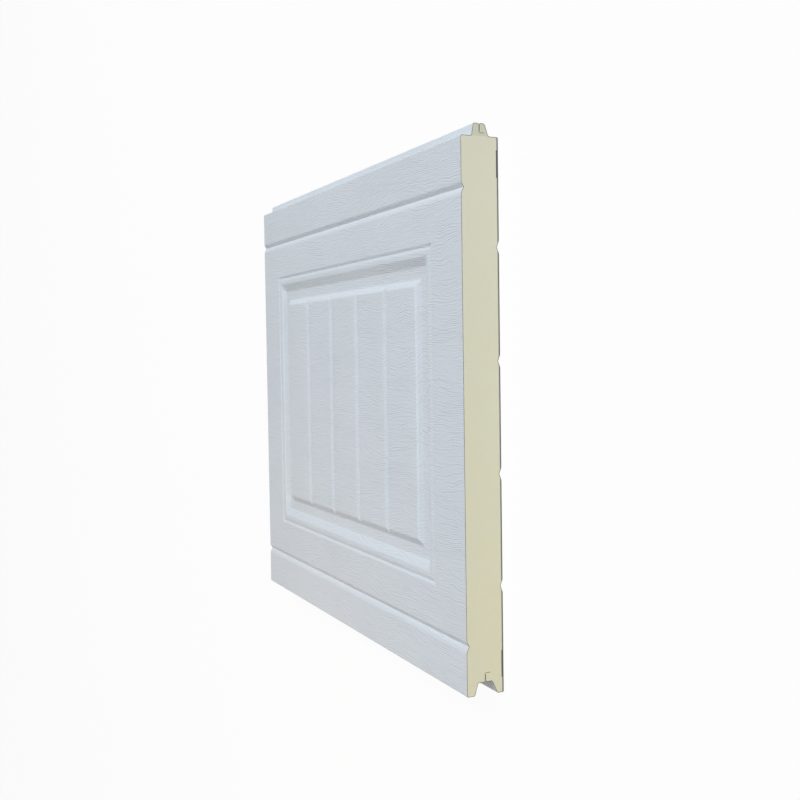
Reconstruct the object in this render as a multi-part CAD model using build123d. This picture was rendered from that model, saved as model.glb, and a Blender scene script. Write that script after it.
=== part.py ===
from build123d import *
import os

# A cut length of a foam-filled steel panel from a sectional garage door. It lies on its back, with its
# weather face up. X runs along the panel, Y from the grooved edge to the tongued edge, Z through it.

# The panel as a whole, in millimetres
panel_length = 610.0
face_height = 533.0
panel_thickness = 40.0
skin_gauge = 0.5
fold_radius = 1.2

# Tongue along the upper edge, given by the points where its straight sides meet
tongue_height = 12.0
tongue_foot_front = 28.4
tongue_tip_front = 26.3
tongue_tip_back = 14.3
tongue_foot_back = 10.2
tongue_radius_front = 1.6
tongue_tip_radius_back = 3.0
tongue_foot_radius_back = 2.5

# Groove along the lower edge: the next panel's tongue, plus these clearances
groove_end_clearance = 0.4
groove_mouth_clearance = 3.1
groove_roof_clearance = 1.6
groove_radius = 1.8

# Where the two skins meet inside the tongue and the groove, their edges are turned in
seam_depth = 20.0
seam_radius = 1.8
leg_length = 8.7
hook_length = 5.4
hook_radius = 0.8
leg_gap = 1.2

# Long V-grooves across the weather face, which fade out softly on their lower side
vee_margin = 48.6
vee_depth = 2.8
vee_upper_width = 4.5
vee_upper_radius = 5.0
vee_lower_width = 4.8
vee_lower_radius = 11.0
vee_bottom_radius = 1.0

# Shallow V-notches along the back
notch_count = 4
notch_pitch = 108.4
notch_half_width = 6.2
notch_depth = 2.4
notch_shoulder_radius = 4.0
notch_bottom_radius = 0.8

# Framed recess pressed into the weather face
frame_length = 482.6
frame_height = 343.2
frame_end_margin = 65.2
frame_top_margin = 94.2
quirk_outer_width = 2.9
quirk_inner_width = 3.7
quirk_depth = 1.4
lip_width = 4.9
lip_depth = 0.3
slope_width = 9.9
recess_depth = 5.0
recess_width = 12.2
bevel_width = 7.2
field_depth = 0.6

# Bead grooves that divide the raised field into boards, spaced from the near one
bead_count = 4
bead_pitch = 82.8
bead_end_margin = 184.2
bead_half_width = 4.2
bead_depth = 2.5

# Flat steel strips in the foam close behind the back skin, which the hinge screws bite into
strip_width = 26.0
strip_thickness = 1.2
strip_gap = 0.5
upper_strip_margin = 12.2
lower_strip_margin = 15.2

# Heights above the panel's lower edge, and the middle of its overall height
tongue_top = face_height + tongue_height
groove_roof = tongue_height + groove_end_clearance
middle_height = tongue_top / 2


def bent_line(corners, gauge):
    """Line through corners given as (height, depth, bend radius), moved to its left by the gauge.

    The bends of the moved line share their centres with those of the line itself, so a left bend
    loses the gauge from its radius and a right bend gains it. The ends have no radius.
    """
    points = [Vector(height - middle_height, depth) for height, depth, _ in corners]
    runs = [(end - start).normalized() for start, end in zip(points, points[1:])]
    lefts = [Vector(-run.Y, run.X) for run in runs]
    moved = [points[0] + lefts[0] * gauge]
    radii = []
    for corner in range(1, len(points) - 1):
        before = lefts[corner - 1]
        after = lefts[corner]
        moved.append(points[corner] + (before + after) * (gauge / (1 + before.dot(after))))
        turns_left = runs[corner - 1].cross(runs[corner]).Z > 0
        radii.append(corners[corner][2] + (-gauge if turns_left else gauge))
    moved.append(points[-1] + lefts[-1] * gauge)
    return FilletPolyline(*moved, radius=radii)


def sheet_section(corners):
    """Section of a bent sheet whose painted side follows the corners."""
    painted = bent_line(corners, 0)
    inner = bent_line(corners, skin_gauge)
    ends = [Line(painted @ 0, inner @ 0), Line(painted @ 1, inner @ 1)]
    return make_face([painted, inner] + ends)


def filled_section(corners):
    """All that lies between the corners' line and the seam where the two skins meet."""
    painted = bent_line(corners, 0)
    return make_face([painted, Line(painted @ 1, painted @ 0)])


def along_panel(section):
    """Carry a section, drawn as height across and depth up, along the whole panel."""
    return extrude(Plane.YZ.offset(-panel_length / 2) * section, amount=panel_length)


def long_groove(height):
    """Three corners of a long V-groove, in order of falling height."""
    return [
        (height + vee_upper_width, panel_thickness, vee_upper_radius),
        (height, panel_thickness - vee_depth, vee_bottom_radius),
        (height - vee_lower_width, panel_thickness, vee_lower_radius),
    ]


def notch(height):
    """Three corners of a notch in the back, in order of rising height."""
    return [
        (height - notch_half_width, 0, notch_shoulder_radius),
        (height, notch_depth, notch_bottom_radius),
        (height + notch_half_width, 0, notch_shoulder_radius),
    ]


def front_corners():
    """Front skin from its leg in the tongue, down the weather face, to its leg in the groove."""
    mouth = tongue_foot_front + groove_mouth_clearance
    roof = tongue_tip_front + groove_roof_clearance
    return [
        (tongue_top - leg_length, seam_depth, 0),
        (tongue_top, seam_depth, seam_radius),
        (tongue_top, tongue_tip_front, tongue_radius_front),
        (face_height, tongue_foot_front, tongue_radius_front),
        (face_height, panel_thickness, fold_radius),
        *long_groove(face_height - vee_margin),
        *long_groove(vee_margin),
        (0, panel_thickness, fold_radius),
        (0, mouth, groove_radius),
        (groove_roof, roof, groove_radius),
        (groove_roof, seam_depth, seam_radius),
        (groove_roof + leg_length, seam_depth, 0),
    ]


def back_corners():
    """Back skin from its leg in the groove, along the back, to its leg in the tongue."""
    mouth = tongue_foot_back - groove_mouth_clearance
    roof = tongue_tip_back - groove_roof_clearance
    leg = leg_length - leg_gap
    corners = [
        (groove_roof + leg, seam_depth, 0),
        (groove_roof, seam_depth, seam_radius),
        (groove_roof, roof, groove_radius),
        (0, mouth, groove_radius),
        (0, 0, fold_radius),
    ]
    first_notch = face_height / 2 - notch_pitch * (notch_count - 1) / 2
    for index in range(notch_count):
        corners += notch(first_notch + notch_pitch * index)
    corners += [
        (face_height, 0, fold_radius),
        (face_height, tongue_foot_back, tongue_foot_radius_back),
        (tongue_top, tongue_tip_back, tongue_tip_radius_back),
        (tongue_top, seam_depth, seam_radius),
        (tongue_top - leg, seam_depth, 0),
    ]
    return corners


def hooked(corners):
    """The front skin's corners with a hook at each end, turned back under the other skin's leg."""
    first = corners[0][0]
    last = corners[-1][0]
    tip = seam_depth - hook_length
    start = [(first, tip, 0), (first, seam_depth, hook_radius)]
    end = [(last, seam_depth, hook_radius), (last, tip, 0)]
    return start + corners[1:-1] + end


def pressed_rings():
    """Inset from the frame's outline and depth below the face, from the outline to the raised field."""
    steps = [
        (quirk_outer_width, quirk_depth),
        (quirk_inner_width, lip_depth),
        (lip_width, lip_depth),
        (slope_width, recess_depth),
        (recess_width, recess_depth),
        (bevel_width, field_depth),
    ]
    rings = [(0, 0)]
    for width, depth in steps:
        rings.append((rings[-1][0] + width, depth))
    return rings


def frame_centre():
    """Middle of the framed recess, on the weather face."""
    x = panel_length / 2 - frame_end_margin - frame_length / 2
    y = face_height - frame_top_margin - frame_height / 2 - middle_height
    return x, y


def ring_corners(inset, z):
    """Four corners of the rectangle that lies inset from the frame's outline, at height z."""
    x, y = frame_centre()
    half_length = frame_length / 2 - inset
    half_height = frame_height / 2 - inset
    signs = [(-1, -1), (1, -1), (1, 1), (-1, 1)]
    return [Vector(x + a * half_length, y + b * half_height, z) for a, b in signs]


def press_tool(drop):
    """The press tool: a block over the frame whose underside is the pressed shape, lowered by drop."""
    top = panel_thickness - drop
    levels = [ring_corners(0, top + recess_depth)]
    levels += [ring_corners(inset, top - depth) for inset, depth in pressed_rings()]
    faces = [Face(Wire.make_polygon(levels[0])), Face(Wire.make_polygon(levels[-1]))]
    for upper, lower in zip(levels, levels[1:]):
        for side in range(4):
            after = (side + 1) % 4
            faces.append(Face(Wire.make_polygon([upper[side], upper[after], lower[after], lower[side]])))
    tool = Solid(Shell(faces))
    return tool + bead_ridges(drop)


def bead_ridges(drop):
    """Ridges on the press tool that form the bead grooves and run out through the bevels."""
    y = frame_centre()[1]
    top = panel_thickness - drop - field_depth
    reach = frame_height - 2 * pressed_rings()[-2][0]
    rise = bead_half_width / 2
    half_top = bead_half_width * (1 + rise / bead_depth)
    corners = [(-half_top, top + rise), (0, top - bead_depth), (half_top, top + rise)]
    ridge = extrude(Plane.XZ * make_face(Polyline(*corners, close=True)), amount=reach / 2, both=True)
    nearest = panel_length / 2 - bead_end_margin
    return [Pos(nearest - bead_pitch * index, y, 0) * ridge for index in range(bead_count)]


def front_skin():
    """Weather skin: the flat face inside the frame is taken out and the pressed shape put in."""
    sheet = along_panel(sheet_section(hooked(front_corners())))
    x, y = frame_centre()
    flat = Pos(x, y, panel_thickness - skin_gauge / 2) * Box(frame_length, frame_height, skin_gauge)
    pressed = press_tool(skin_gauge) - press_tool(0)
    return sheet - flat + pressed


def back_skin():
    return along_panel(sheet_section(back_corners()))


def strip_section(lower_edge):
    """Section of a reinforcing strip, bedded in the foam at a small gap from the back skin."""
    centre = (lower_edge + strip_width / 2 - middle_height, skin_gauge + strip_gap + strip_thickness / 2)
    return Pos(*centre) * Rectangle(strip_width, strip_thickness)


def upper_strip_section():
    return strip_section(face_height - upper_strip_margin - strip_width)


def lower_strip_section():
    return strip_section(lower_strip_margin)


def foam_core():
    """Foam: all that the skins enclose, less the strips and the pressed shape of the weather skin."""
    section = filled_section(front_corners()) + filled_section(back_corners())
    section -= sheet_section(hooked(front_corners()))
    section -= sheet_section(back_corners())
    section -= upper_strip_section() + lower_strip_section()
    return along_panel(section) - press_tool(skin_gauge)


pieces = {
    "front_skin": front_skin(),
    "back_skin": back_skin(),
    "foam_core": foam_core(),
    "upper_reinforcing_strip": along_panel(upper_strip_section()),
    "lower_reinforcing_strip": along_panel(lower_strip_section()),
}

os.makedirs("parts", exist_ok=True)
for name, piece in pieces.items():
    export_step(piece, f"parts/{name}.step")
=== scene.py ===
import math

import bpy
import numpy as np
from mathutils import Matrix, Vector


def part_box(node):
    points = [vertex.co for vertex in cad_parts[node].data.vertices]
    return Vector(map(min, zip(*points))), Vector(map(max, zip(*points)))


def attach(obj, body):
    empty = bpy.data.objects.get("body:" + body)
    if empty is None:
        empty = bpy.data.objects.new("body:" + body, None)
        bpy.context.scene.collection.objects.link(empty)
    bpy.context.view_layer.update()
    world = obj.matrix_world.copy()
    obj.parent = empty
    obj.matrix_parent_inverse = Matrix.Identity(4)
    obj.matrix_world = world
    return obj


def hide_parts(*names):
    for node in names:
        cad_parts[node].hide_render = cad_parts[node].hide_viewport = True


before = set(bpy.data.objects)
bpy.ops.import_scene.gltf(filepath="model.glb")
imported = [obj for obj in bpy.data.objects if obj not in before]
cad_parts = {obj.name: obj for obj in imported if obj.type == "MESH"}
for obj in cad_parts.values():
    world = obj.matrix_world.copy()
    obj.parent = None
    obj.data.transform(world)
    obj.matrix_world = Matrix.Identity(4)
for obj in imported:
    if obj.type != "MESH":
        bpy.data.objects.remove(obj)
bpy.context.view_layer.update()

mm = 0.001

# Viewpoint
# The panel was photographed standing on its grooved edge, from beyond its cut end. Here it lies on its
# back, so the camera is turned with it, and the tongued edge, at +Y, is up in the picture.
camera_place = Vector((1204.5, 55.5, 516.4)) * mm
camera_aim = Vector((204.6, 9.5, 60.2)) * mm
camera_roll = math.radians(-0.85)
focal_length = 48.49
sensor_width = 36.0


def aimed(place, aim, up, roll=0.0):
    """Placement of a thing at place that looks at aim. Its back, right and up directions come from
    cross products of the line of sight with up, and it is then turned by roll about that line."""
    back = (place - aim).normalized()
    right = up.cross(back).normalized()
    turned = Matrix((right, back.cross(right), back)).transposed() @ Matrix.Rotation(roll, 3, "Z")
    return Matrix.Translation(place) @ turned.to_4x4()


camera = bpy.data.objects.new("camera", bpy.data.cameras.new("camera"))
camera.data.lens = focal_length
camera.data.sensor_width = sensor_width
camera.matrix_world = aimed(camera_place, camera_aim, Vector((0, 1, 0)), camera_roll)
bpy.context.scene.collection.objects.link(camera)
bpy.context.scene.camera = camera
bpy.context.scene.view_settings.view_transform = "Standard"

# Floor and light
# A pale floor and an even sky, near white to the camera and dimmer to the panel. A broad soft lamp is
# high beyond the tongued edge, a small one low beyond the cut end, and two weak ones over the grooved edge.
floor_size = 40.0
floor_seen_level = 0.90
floor_bounce_level = 0.45
floor_glow_share = 0.95
sky_strength = 0.15
key_place = Vector((2.05, 3.85, 4.12))
key_size = 3.6
key_power = 265.0
key_colour = (0.98, 1.0, 1.03)
end_lamp_place = Vector((3.00, -0.60, 0.16))
end_lamp_size = 0.24
end_lamp_power = 22.0
edge_lamp_place = Vector((0.30, -0.45, 0.90))
edge_lamp_size = 0.5
edge_lamp_power = 0.65
warm_lamp_place = Vector((-0.15, -0.55, 0.40))
warm_lamp_size = 0.4
warm_lamp_power = 0.36
warm_colour = (1.0, 0.62, 0.35)


class Value:
    """One socket of a shader. Adding, multiplying and so on with a number or another value makes the
    Math node that does it, and gives that node's result as a new value."""

    def __init__(self, finish, socket):
        self.finish = finish
        self.socket = socket

    def __add__(self, other):
        return self.finish.math("ADD", self, other)

    def __sub__(self, other):
        return self.finish.math("SUBTRACT", self, other)

    def __rsub__(self, other):
        return self.finish.math("SUBTRACT", other, self)

    def __mul__(self, other):
        return self.finish.math("MULTIPLY", self, other)

    def __truediv__(self, other):
        return self.finish.math("DIVIDE", self, other)

    def __rtruediv__(self, other):
        return self.finish.math("DIVIDE", other, self)

    __radd__ = __add__
    __rmul__ = __mul__

    def sibling(self, output):
        """Another output of the same node."""
        return Value(self.finish, self.socket.node.outputs[output])


class Finish:
    """A material, or the sky, that is put together from nodes."""

    def __init__(self, owner):
        owner.use_nodes = True
        self.owner = owner
        self.tree = owner.node_tree
        self.tree.nodes.clear()

    def node(self, kind, inputs, output=0, **settings):
        """Add a node of that kind. Its settings come first, and then each input's number, colour or
        value. Gives one output as a value, or nothing where the node has no output."""
        made = self.tree.nodes.new(kind)
        for setting, chosen in settings.items():
            setattr(made, setting, chosen)
        for name, given in inputs.items():
            if isinstance(given, Value):
                self.tree.links.new(given.socket, made.inputs[name])
            else:
                made.inputs[name].default_value = given
        return Value(self, made.outputs[output]) if len(made.outputs) else None

    def math(self, operation, *terms):
        """A Math node on one to three numbers or values."""
        return self.node("ShaderNodeMath", dict(enumerate(terms)), operation=operation)

    def tint(self, share, first, second):
        """The first colour where share is 0, the second where it is 1."""
        return self.node("ShaderNodeMix", {0: share, 6: first, 7: second}, output=2, data_type="RGBA")


def grey(level):
    """A neutral colour of that level, where 1 is white."""
    return (level, level, level, 1.0)


def looked_at(finish):
    """1 for a ray from the camera, or one that a shiny or clear surface sends on, and 0 for the rest."""
    camera_ray = finish.node("ShaderNodeLightPath", {}, output="Is Camera Ray")
    sent_on = camera_ray.sibling("Is Glossy Ray") + camera_ray.sibling("Is Transmission Ray")
    return finish.math("MINIMUM", camera_ray + sent_on, 1.0)


white = grey(1.0)
sky = Finish(bpy.data.worlds.new("sky"))
bpy.context.scene.world = sky.owner
strength = looked_at(sky) * (1.0 - sky_strength) + sky_strength
backdrop = sky.node("ShaderNodeBackground", {"Color": white, "Strength": strength})
sky.node("ShaderNodeOutputWorld", {"Surface": backdrop})

floor_mesh = bpy.data.meshes.new("floor")
floor_corners = np.array([(-1, -1, 0), (1, -1, 0), (1, 1, 0), (-1, 1, 0)]) * floor_size / 2
floor_mesh.from_pydata(floor_corners.tolist(), [], [(0, 1, 2, 3)])
floor = bpy.data.objects.new("floor", floor_mesh)
bpy.context.scene.collection.objects.link(floor)
matt_white = Finish(bpy.data.materials.new("matt_white_floor"))
seen = looked_at(matt_white)
shade = matt_white.tint(seen, grey(floor_bounce_level), grey(floor_seen_level))
paper = matt_white.node("ShaderNodeBsdfDiffuse", {"Color": shade})
glow = matt_white.node("ShaderNodeEmission", {"Color": white, "Strength": 1.0})
surface = matt_white.node("ShaderNodeMixShader", {0: seen * floor_glow_share, 1: paper, 2: glow})
matt_white.node("ShaderNodeOutputMaterial", {"Surface": surface})
floor_mesh.materials.append(matt_white.owner)


def soft_lamp(name, place, size, power, colour=white[:3]):
    """A round lamp of that width, which faces the panel."""
    lamp = bpy.data.objects.new(name, bpy.data.lights.new(name, "AREA"))
    lamp.data.shape = "DISK"
    lamp.data.size = size
    lamp.data.energy = power
    lamp.data.color = colour
    lamp.matrix_world = aimed(place, Vector((0, 0, 0)), Vector((0, 0, 1)))
    bpy.context.scene.collection.objects.link(lamp)


soft_lamp("key_lamp", key_place, key_size, key_power, key_colour)
soft_lamp("end_lamp", end_lamp_place, end_lamp_size, end_lamp_power)
soft_lamp("edge_lamp", edge_lamp_place, edge_lamp_size, edge_lamp_power)
soft_lamp("warm_lamp", warm_lamp_place, warm_lamp_size, warm_lamp_power, warm_colour)

# Front skin
# One sheet of galvanised steel, painted white and embossed with a wood grain before it is formed. Rolls
# bend in the long V-grooves and the edges, and a press forms the framed recess and its bead grooves.
skin_low, skin_high = np.array(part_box("front_skin"))
half_length = skin_high[0]
lower_edge = skin_low[1]
panel_thickness = skin_high[2]
tongue_height = 12.0 * mm
face_height = skin_high[1] - lower_edge - tongue_height
skin_gauge = 0.5 * mm
fold_radius = 1.2 * mm
bend_step = math.radians(10)
sharp_angle = math.radians(35)

# Its half of the tongue and of the groove, and the edges that are turned in where the skins meet
tongue_foot_front = 28.4 * mm
tongue_tip_front = 26.3 * mm
tongue_radius_front = 1.6 * mm
groove_end_clearance = 0.4 * mm
groove_mouth_clearance = 3.1 * mm
groove_roof_clearance = 1.6 * mm
groove_radius = 1.8 * mm
seam_depth = 20.0 * mm
seam_radius = 1.8 * mm
leg_length = 8.7 * mm
hook_length = 5.4 * mm
hook_radius = 0.8 * mm

# Long V-grooves. A softness is how far a bend reaches on either side of its corner.
vee_margin = 48.6 * mm
vee_depth = 2.8 * mm
vee_upper_width = 4.5 * mm
vee_upper_softness = 1.3 * mm
vee_lower_width = 4.8 * mm
vee_lower_softness = 3.0 * mm
vee_bottom_softness = 0.5 * mm

# Framed recess: a small quirk and a lip round it, a slope down to it, and a bevel up to its raised field
frame_length = 482.6 * mm
frame_height = 343.2 * mm
frame_end_margin = 65.2 * mm
frame_top_margin = 94.2 * mm
mitre_softness = 1.2 * mm
outline_softness = 0.4 * mm
quirk_outer_width = 2.9 * mm
quirk_inner_width = 3.7 * mm
quirk_depth = 1.4 * mm
quirk_bottom_softness = 0.5 * mm
lip_width = 4.9 * mm
lip_depth = 0.3 * mm
lip_outer_softness = 0.6 * mm
lip_inner_softness = 1.2 * mm
slope_width = 9.9 * mm
slope_foot_softness = 1.4 * mm
recess_width = 12.2 * mm
recess_depth = 5.0 * mm
bevel_width = 7.2 * mm
bevel_softness = 1.2 * mm
field_depth = 0.6 * mm

# Bead grooves
bead_count = 4
bead_pitch = 82.8 * mm
bead_end_margin = 184.2 * mm
bead_half_width = 4.2 * mm
bead_depth = 2.5 * mm
bead_shoulder_softness = 1.1 * mm
bead_bottom_softness = 0.7 * mm

# Lines of the sheet's grid: across each kind of bend, and evenly over the middle of the face and along it
lines_across_vee_bottom = 5
lines_across_vee_upper = 7
lines_across_vee_lower = 9
lines_across_pressed_bend = 5
pressed_bend_reach = 1.2 * mm
lines_across_bevel = 10
lines_across_bead = 19
lines_over_middle = 19
middle_of_face = (0.2, 0.8)
lines_along_panel = 25


def bent_line(corners):
    """Points along a line through corners given as (height, depth, bend radius), and the direction to
    the left of the line at each point. A bend starts and ends at its radius times the tangent of half
    the turn from its corner, and its points divide the turn evenly, at most bend_step apart."""
    places = np.array([corner[:2] for corner in corners]) + (lower_edge, 0)
    runs = np.diff(places, axis=0)
    runs /= np.linalg.norm(runs, axis=1)[:, None]
    angles = np.arctan2(runs[:, 1], runs[:, 0])
    points = [places[:1]]
    headings = [angles[:1]]
    for place, run, start, end, corner in zip(places[1:], runs, angles, angles[1:], corners[1:]):
        turn = (end - start + math.pi) % (2 * math.pi) - math.pi
        radius = corner[2] * np.sign(turn)
        swept = start + np.linspace(0, turn, max(2, math.ceil(abs(turn) / bend_step) + 1))
        first = place - run * abs(radius * math.tan(turn / 2))
        arc = np.stack([np.sin(swept) - math.sin(start), math.cos(start) - np.cos(swept)], axis=1)
        points.append(first + radius * arc)
        headings.append(swept)
    points.append(places[-1:])
    headings.append(angles[-1:])
    headings = np.concatenate(headings)
    return np.concatenate(points), np.stack([-np.sin(headings), np.cos(headings)], axis=1)


def ramp(distance, softness):
    """Zero below a distance of zero and the distance itself above it. Within the softness on either
    side it is the square of their sum over four times the softness, which joins the two smoothly."""
    near = (distance + softness) ** 2 / (4 * softness)
    return np.where(distance > softness, distance, np.where(distance < -softness, 0, near))


def long_grooves(height):
    """Depth of the two long V-grooves at each height above the panel's lower edge. Each is three ramps
    of the distance from its middle: down its lower side, up its upper side, and level again."""
    lower_slope = vee_depth / vee_lower_width
    upper_slope = vee_depth / vee_upper_width
    depth = 0
    for middle in vee_middles:
        offset = height - middle
        depth = depth + lower_slope * ramp(offset + vee_lower_width, vee_lower_softness)
        depth -= (lower_slope + upper_slope) * ramp(offset, vee_bottom_softness)
        depth += upper_slope * ramp(offset - vee_upper_width, vee_upper_softness)
    return depth


def pressed_depth(x, y):
    """Depth of the pressed shape. It is a sum of ramps of the inset, one for each change of slope, and
    the inset is the smaller of the distances to the frame's two nearest sides. Past the foot of the
    slope a bead's V takes over where it is deeper."""
    along = frame_length / 2 - abs(x - frame_middle[0])
    across = frame_height / 2 - abs(y - frame_middle[1])
    inset = along - ramp(along - across, mitre_softness)
    widths, depths, softness = pressed_steps.T
    slopes = np.diff(depths, prepend=0) / widths
    changes = np.diff(slopes, prepend=0, append=0)
    bends = zip(changes, step_insets, np.concatenate([[outline_softness], softness]))
    depth = sum(change * ramp(inset - start, reach) for change, start, reach in bends)
    slope = bead_depth / bead_half_width
    nearest = abs(x - bead_middles[:, None, None]).min(axis=0)
    rounded = 2 * ramp(nearest, bead_bottom_softness) - nearest
    bead = field_depth + bead_depth - slope * rounded
    with_beads = bead + ramp(depth - bead, bead_shoulder_softness * slope)
    return np.where(inset > slope_foot, with_beads, depth)


def spread(places, reach, count):
    """Each place with further ones on both sides of it, that many in all, evenly spaced over the reach."""
    return (np.asarray(places)[:, None] + reach * np.linspace(-1, 1, count)).ravel()


def grid_lines(groups):
    """All places of the groups in rising order, each once. Places within a micrometre are the same."""
    return np.unique(np.concatenate(groups).round(6))


def carried(line, lengths):
    """Grid of points of a line carried along the panel: rows follow the line, columns the lengths."""
    grid = np.empty((len(line), len(lengths), 3))
    grid[..., 0] = lengths
    grid[..., 1:] = line[:, None]
    return grid


def closed_sheet(name, outer, inner):
    """A sheet between two grids of points of the same shape. Faces join the grids' neighbours, and a
    strip along each side closes the edge. Each cell is split along the diagonal that points to the
    frame's middle, so that the mitred corners of the pressed frame stay straight."""
    rows, columns, _ = outer.shape
    number = np.arange(rows * columns).reshape(rows, columns)
    a, b, c, d = number[:-1, :-1], number[1:, :-1], number[1:, 1:], number[:-1, 1:]
    middle = (outer[:-1, :-1] + outer[1:, 1:]) / 2
    turned = ((middle[..., 0] - frame_middle[0]) * (middle[..., 1] - frame_middle[1]) > 0)[..., None]
    first = np.where(turned, np.stack([a, b, d], -1), np.stack([a, b, c], -1)).reshape(-1, 3)
    second = np.where(turned, np.stack([b, c, d], -1), np.stack([a, c, d], -1)).reshape(-1, 3)
    skin = np.concatenate([first, second])
    rim = np.concatenate([number[:, 0], number[-1, 1:], number[-2::-1, -1], number[0, -2:0:-1]])
    after = np.roll(rim, -1)
    under = rows * columns
    outer_half = np.stack([rim, rim + under, after], 1)
    inner_half = np.stack([after, rim + under, after + under], 1)
    edge = np.concatenate([outer_half, inner_half])
    faces = np.concatenate([skin, skin[:, ::-1] + under, edge])
    mesh = bpy.data.meshes.new(name)
    mesh.from_pydata(np.concatenate([outer.reshape(-1, 3), inner.reshape(-1, 3)]), [], faces.tolist())
    mesh.polygons.foreach_set("material_index", np.repeat([0, 1], [2 * len(skin), len(edge)]))
    mesh.polygons.foreach_set("use_smooth", np.ones(len(faces), bool))
    mesh.set_sharp_from_angle(angle=sharp_angle)
    piece = bpy.data.objects.new(name, mesh)
    bpy.context.scene.collection.objects.link(piece)
    return piece


# Each step of the pressed shape: its width, its depth at the end, and the softness of the bend there
pressed_steps = np.array([
    (quirk_outer_width, quirk_depth, quirk_bottom_softness),
    (quirk_inner_width, lip_depth, lip_outer_softness),
    (lip_width, lip_depth, lip_inner_softness),
    (slope_width, recess_depth, slope_foot_softness),
    (recess_width, recess_depth, bevel_softness),
    (bevel_width, field_depth, bevel_softness),
])
step_insets = np.concatenate([[0], np.cumsum(pressed_steps[:, 0])])
slope_foot, bevel_foot, field_edge = step_insets[-3:]
frame_middle = np.array([
    half_length - frame_end_margin - frame_length / 2,
    lower_edge + face_height - frame_top_margin - frame_height / 2,
])
bead_middles = half_length - bead_end_margin - bead_pitch * np.arange(bead_count)

# Section of the sheet, from its hook in the tongue, down the weather face, to its hook in the groove
tongue_top = face_height + tongue_height
groove_roof = tongue_height + groove_end_clearance
hook_tip = seam_depth - hook_length
over_tongue = bent_line([
    (tongue_top - leg_length, hook_tip, 0),
    (tongue_top - leg_length, seam_depth, hook_radius),
    (tongue_top, seam_depth, seam_radius),
    (tongue_top, tongue_tip_front, tongue_radius_front),
    (face_height, tongue_foot_front, tongue_radius_front),
    (face_height, panel_thickness, fold_radius),
    (face_height - 2 * fold_radius, panel_thickness, 0),
])
into_groove = bent_line([
    (2 * fold_radius, panel_thickness, 0),
    (0, panel_thickness, fold_radius),
    (0, tongue_foot_front + groove_mouth_clearance, groove_radius),
    (groove_roof, tongue_tip_front + groove_roof_clearance, groove_radius),
    (groove_roof, seam_depth, seam_radius),
    (groove_roof + leg_length, seam_depth, hook_radius),
    (groove_roof + leg_length, hook_tip, 0),
])
vee_middles = np.array([vee_margin, face_height - vee_margin])
frame_height_middle = frame_middle[1] - lower_edge
on_bevel = np.linspace(bevel_foot, field_edge, lines_across_bevel)
insets = np.concatenate([spread(step_insets, pressed_bend_reach, lines_across_pressed_bend), on_bevel])
heights = grid_lines([
    spread(vee_middles, vee_bottom_softness, lines_across_vee_bottom),
    spread(vee_middles + vee_upper_width, vee_upper_softness, lines_across_vee_upper),
    spread(vee_middles - vee_lower_width, vee_lower_softness, lines_across_vee_lower),
    frame_height_middle + frame_height / 2 - insets,
    frame_height_middle - frame_height / 2 + insets,
    np.linspace(*middle_of_face, lines_over_middle) * face_height,
])[::-1]
lengths = grid_lines([
    frame_middle[0] + frame_length / 2 - insets,
    frame_middle[0] - frame_length / 2 + insets,
    spread(bead_middles, bead_half_width + bead_shoulder_softness, lines_across_bead),
    np.linspace(-half_length, half_length, lines_along_panel),
])
face = np.stack([heights + lower_edge, panel_thickness - long_grooves(heights)], axis=1)
profile = np.concatenate([over_tongue[0], face, into_groove[0]])
inward = np.concatenate([over_tongue[1], np.tile((0.0, -1.0), (len(face), 1)), into_groove[1]])

outer = carried(profile, lengths)
inner = carried(profile + inward * skin_gauge, lengths)
on_face = slice(len(over_tongue[0]), len(over_tongue[0]) + len(face))
pressed = pressed_depth(outer[on_face, :, 0], outer[on_face, :, 1])
outer[on_face, :, 2] -= pressed
inner[on_face, :, 2] -= pressed
front = closed_sheet("front_skin_embossed", outer, inner)
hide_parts("front_skin")
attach(front, "root")

# Paint, and the wood grain under it. A bend is counted in grain lines, and a height in grain depths.
face_paint = (0.757, 0.82, 0.875, 1.0)
paint_roughness = 0.42
paint_gloss = 0.25
mottle_roughness = 0.12
mottle_shade = 0.97
grain_lines_per_metre = 410.0
grain_depth = 0.25 * mm
wave_bend = 8.5
ripple_bend = 1.9
streaks_per_metre = 42.0
streak_detail = 1.0
streak_height = 1.5
ring_height = 0.35
ring_contrast = 2.4
ring_threshold = 0.5
ring_softness = 0.2

# Layers of noise: features to a metre along and across the panel, detail, and a shift that sets them apart
grain_waves = (9.0, 24.0, 0.0, 0.0)
grain_ripples = (55.0, 95.0, 1.0, 7.0)
ring_patches = (20.0, 50.0, 1.0, 3.0)
paint_mottle = (12.0, 12.0, 3.0, 11.0)

# Bare metal where the sheet was sheared
sheared_face_colour = grey(0.14)
shear_marks_per_metre = 900.0
shear_mark_detail = 2.0
shear_mark_shade = 0.6
cut_metallic = 0.3
cut_roughness = 0.55


def darker(colour, share):
    """The colour with its red, green and blue brought down to that share of what they were."""
    return tuple(part * share for part in colour[:3]) + colour[3:]


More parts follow.
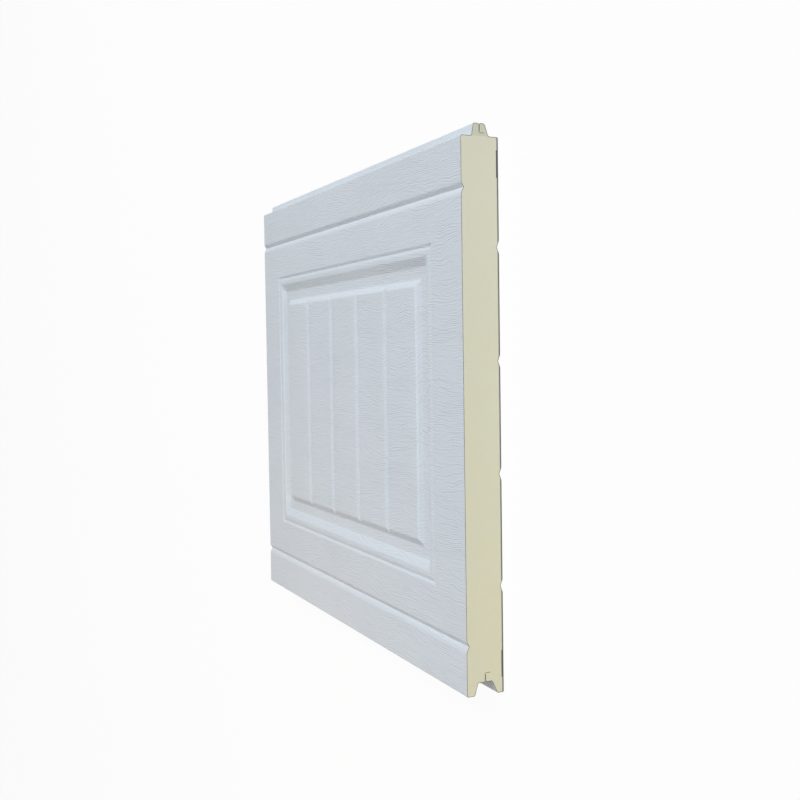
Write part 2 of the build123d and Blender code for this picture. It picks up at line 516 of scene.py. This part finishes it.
def painted_steel(name, colour, depth):
    """White coil paint over steel embossed with a wood grain. The grain follows the distance across
    the panel, Y plus Z so that it runs on round the edges, bent by slow noise into long waves, arches
    and eyes. Noise stretched along that flow makes its uneven streaks, and a sine of it the faint
    rings that come and go."""
    paint = Finish(bpy.data.materials.new(name))
    place = paint.node("ShaderNodeTexCoord", {}, output="Object")
    x = paint.node("ShaderNodeSeparateXYZ", {"Vector": place})
    across = x.sibling("Y") + x.sibling("Z")

    def noise(first, second, detail):
        """Smooth noise from 0 to 1 that varies with two values, with one feature for each whole step."""
        spot = paint.node("ShaderNodeCombineXYZ", {0: first, 1: second})
        inputs = {"Vector": spot, "Scale": 1.0, "Detail": detail}
        return paint.node("ShaderNodeTexNoise", inputs, noise_dimensions="2D")

    def layer(per_metre_along, per_metre_across, detail, shift):
        """Noise with so many features to a metre along and across the panel, shifted along it."""
        return noise(x * per_metre_along + shift, across * per_metre_across, detail)

    bend = layer(*grain_waves) * wave_bend + layer(*grain_ripples) * ripple_bend
    flow = across * grain_lines_per_metre + bend
    rings = paint.math("SINE", flow * (2 * math.pi))
    strong = layer(*ring_patches) * ring_contrast - ring_threshold
    strong = paint.math("SMOOTH_MIN", strong, 1.0, ring_softness)
    streaks = noise(x * streaks_per_metre, flow, streak_detail)
    relief = rings * strong * ring_height + streaks * streak_height
    normal = paint.node("ShaderNodeBump", {"Height": relief, "Distance": depth, "Strength": 1.0})
    mottle = layer(*paint_mottle)
    shade = paint.tint(mottle, colour, darker(colour, mottle_shade))
    surface = paint.node("ShaderNodeBsdfPrincipled", {
        "Base Color": shade,
        "Roughness": mottle * mottle_roughness + paint_roughness,
        "Specular IOR Level": paint_gloss,
        "Normal": normal,
    })
    paint.node("ShaderNodeOutputMaterial", {"Surface": surface})
    return paint.owner


def cut_steel(name, colour):
    """Sheared edge of a steel sheet: bare grey metal with fine darker marks."""
    edge = Finish(bpy.data.materials.new(name))
    place = edge.node("ShaderNodeTexCoord", {}, output="Object")
    pattern = {"Vector": place, "Scale": shear_marks_per_metre, "Detail": shear_mark_detail}
    marks = edge.node("ShaderNodeTexNoise", pattern)
    surface = edge.node("ShaderNodeBsdfPrincipled", {
        "Base Color": edge.tint(marks, colour, darker(colour, shear_mark_shade)),
        "Metallic": cut_metallic,
        "Roughness": cut_roughness,
    })
    edge.node("ShaderNodeOutputMaterial", {"Surface": surface})
    return edge.owner


front.data.materials.append(painted_steel("embossed_white_paint", face_paint, grain_depth))
front.data.materials.append(cut_steel("sheared_face_edge", sheared_face_colour))

# Back skin
# A second, plainer sheet of the same steel. Four shallow V-notches stiffen it along the panel, and its
# edges are rolled over the back half of the tongue and of the groove, to meet the front skin's.
tongue_tip_back = 14.3 * mm
tongue_foot_back = 10.2 * mm
tongue_tip_radius_back = 3.0 * mm
tongue_foot_radius_back = 2.5 * mm
leg_gap = 1.2 * mm
notch_count = 4
notch_pitch = 108.4 * mm
notch_half_width = 6.2 * mm
notch_depth = 2.4 * mm
notch_shoulder_radius = 4.0 * mm
notch_bottom_radius = 0.8 * mm
back_paint = (0.80, 0.82, 0.83, 1.0)
back_grain_depth = grain_depth / 2
# Sheared back edge: bare steel, and made darker than the face skin's edge as painted shade where it meets the
# foam
sheared_back_and_shade_colour = grey(0.05)

notches = []
for middle in face_height / 2 + notch_pitch * (np.arange(notch_count) - (notch_count - 1) / 2):
    notches += [
        (middle - notch_half_width, 0, notch_shoulder_radius),
        (middle, notch_depth, notch_bottom_radius),
        (middle + notch_half_width, 0, notch_shoulder_radius),
    ]
back_profile, back_inward = bent_line([
    (groove_roof + leg_length - leg_gap, seam_depth, 0),
    (groove_roof, seam_depth, seam_radius),
    (groove_roof, tongue_tip_back - groove_roof_clearance, groove_radius),
    (0, tongue_foot_back - groove_mouth_clearance, groove_radius),
    (0, 0, fold_radius),
    *notches,
    (face_height, 0, fold_radius),
    (face_height, tongue_foot_back, tongue_foot_radius_back),
    (tongue_top, tongue_tip_back, tongue_tip_radius_back),
    (tongue_top, seam_depth, seam_radius),
    (tongue_top - leg_length + leg_gap, seam_depth, 0),
])
back_lengths = np.linspace(-half_length, half_length, lines_along_panel)
back_outer = carried(back_profile, back_lengths)
back_inner = carried(back_profile + back_inward * skin_gauge, back_lengths)
back = closed_sheet("back_skin_rolled", back_outer, back_inner)
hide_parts("back_skin")
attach(back, "root")
back.data.materials.append(painted_steel("plain_white_paint", back_paint, back_grain_depth))
back.data.materials.append(cut_steel("sheared_back_edge_and_shade", sheared_back_and_shade_colour))

# Foam core
# Rigid polyurethane foam, poured between the skins, where it rises, fills every fold and sticks. It is
# cream yellow and shows its fine cells where the saw cut through the panel.
foam_upper = (0.842, 0.83, 0.663, 1.0)
foam_lower = (0.853, 0.82, 0.585, 1.0)
# Dark grey of the painted shade beside the back skin, also mixed in fainter over the tongue
shade_and_tongue_grey = (0.20, 0.20, 0.19, 1.0)
foam_roughness = 0.9
cells_per_metre = 1400.0
cell_depth = 0.2 * mm
cell_strength = 0.6
patches_per_metre = 40.0
patch_detail = 3.0
patch_range = 0.8
# Width and softness of the painted shade band along the back skin, and the share of grey over the tongue
shade_band_width = 1.9 * mm
shade_band_softness = 0.8 * mm
tongue_greying = 0.16


def sawn_foam(name):
    """Cut polyurethane foam: fine closed cells, and a colour that turns yellower towards the groove. A dark
    grey band along the back skin is painted shade where the foam meets it, and a fainter grey lies over the
    tongue."""
    foam = Finish(bpy.data.materials.new(name))
    place = foam.node("ShaderNodeTexCoord", {}, output="Object")
    x = foam.node("ShaderNodeSeparateXYZ", {"Vector": place})
    pores = {"Vector": place, "Scale": cells_per_metre}
    cells = foam.node("ShaderNodeTexVoronoi", pores, feature="SMOOTH_F1")
    normal = foam.node("ShaderNodeBump", {"Height": cells, "Distance": cell_depth, "Strength": cell_strength})
    blotches = {"Vector": place, "Scale": patches_per_metre, "Detail": patch_detail}
    patches = foam.node("ShaderNodeTexNoise", blotches)
    height = x.sibling("Y") / face_height + 0.5
    shade = foam.tint(height + (patches - 0.5) * patch_range, foam_lower, foam_upper)
    # Painted shade: a dark band in the foam along the back skin, and a fainter grey over the whole tongue
    shade_band_and_tongue = (shade_band_width - x.sibling("Z")) / shade_band_softness
    shade_band_and_tongue = foam.math("MINIMUM", foam.math("MAXIMUM", shade_band_and_tongue, 0.0), 1.0)
    in_tongue = foam.math("GREATER_THAN", x.sibling("Y"), lower_edge + face_height)
    shade_band_and_tongue = foam.math("MAXIMUM", shade_band_and_tongue, in_tongue * tongue_greying)
    surface = foam.node("ShaderNodeBsdfPrincipled", {
        "Base Color": foam.tint(shade_band_and_tongue, shade, shade_and_tongue_grey),
        "Roughness": foam_roughness,
        "Normal": normal,
    })
    foam.node("ShaderNodeOutputMaterial", {"Surface": surface})
    return foam.owner


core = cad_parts["foam_core"]
core.data.materials.clear()
core.data.materials.append(sawn_foam("sawn_foam"))

# Reinforcing strips
# Two flat galvanised strips, laid in behind the back skin before the foam is poured. They show at the
# cut ends as a dark line beside the skin, and give the hinge screws steel to bite into.
strip_colour = grey(0.10)
zinc = cut_steel("galvanised_strip", strip_colour)
for name in ("upper_reinforcing_strip", "lower_reinforcing_strip"):
    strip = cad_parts[name]
    strip.data.materials.clear()
    strip.data.materials.append(zinc)
